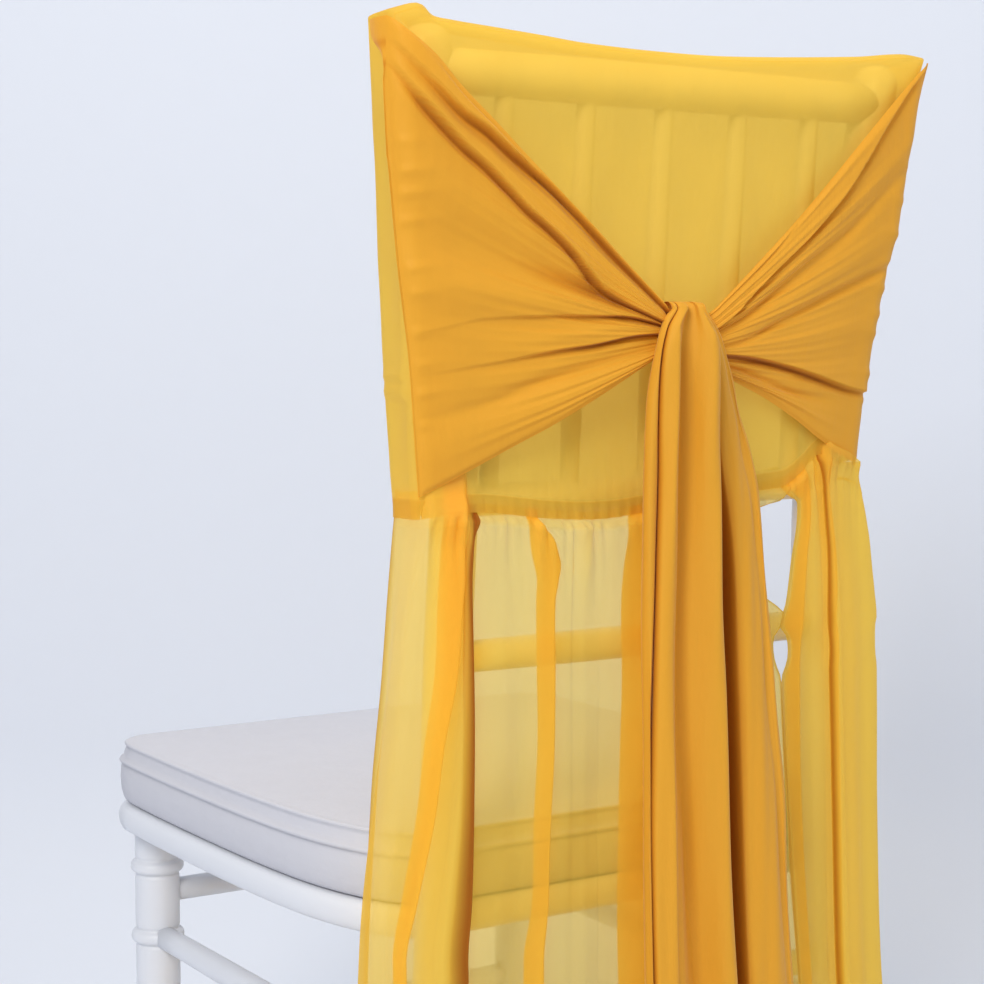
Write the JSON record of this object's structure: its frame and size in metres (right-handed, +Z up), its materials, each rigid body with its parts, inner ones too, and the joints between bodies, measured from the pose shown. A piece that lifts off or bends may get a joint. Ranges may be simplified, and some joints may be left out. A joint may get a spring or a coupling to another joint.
{
  "type": "chair with sheer chair cover and tied sash",
  "caption": "Turned banquet chair wearing a sheer hood over its back, with a gathered skirt behind and a sash tied in a knot with hanging tails.",
  "frame": {"origin": "on the floor, under the middle of the bounding box", "axes": "+Z up, +Y the way the sitter faces, +X to the right as seen from behind the chair"},
  "size_m": [0.4041, 0.5181, 0.9233],
  "materials": {
    "sheer_cloth": "sheer chiffon",
    "sash_cloth": "matt chiffon in two or more layers",
    "white_paint": "white satin paint",
    "seat_cloth": "white cloth"
  },
  "bodies": {
    "root": {"hood_back": "sheer_cloth", "hood_front": "sheer_cloth", "hood_gusset": "sheer_cloth", "skirt_left": "sheer_cloth", "skirt_right": "sheer_cloth", "sash_left": "sash_cloth", "sash_right": "sash_cloth", "seat_pad": "seat_cloth", "seat_board": "white_paint", "back_post_left": "white_paint", "back_post_right": "white_paint", "front_leg_left": "white_paint", "front_leg_right": "white_paint", "crest_rail": "white_paint", "back_rail_upper": "white_paint", "back_rail_lower": "white_paint", "spindle_1": "white_paint", "spindle_2": "white_paint", "spindle_3": "white_paint", "spindle_4": "white_paint", "spindle_5": "white_paint", "front_stretcher_1": "white_paint", "front_stretcher_2": "white_paint", "rear_stretcher_1": "white_paint", "rear_stretcher_2": "white_paint", "side_stretcher_left_1": "white_paint", "side_stretcher_left_2": "white_paint", "side_stretcher_right_1": "white_paint", "side_stretcher_right_2": "white_paint"}
  },
  "joints": []
}
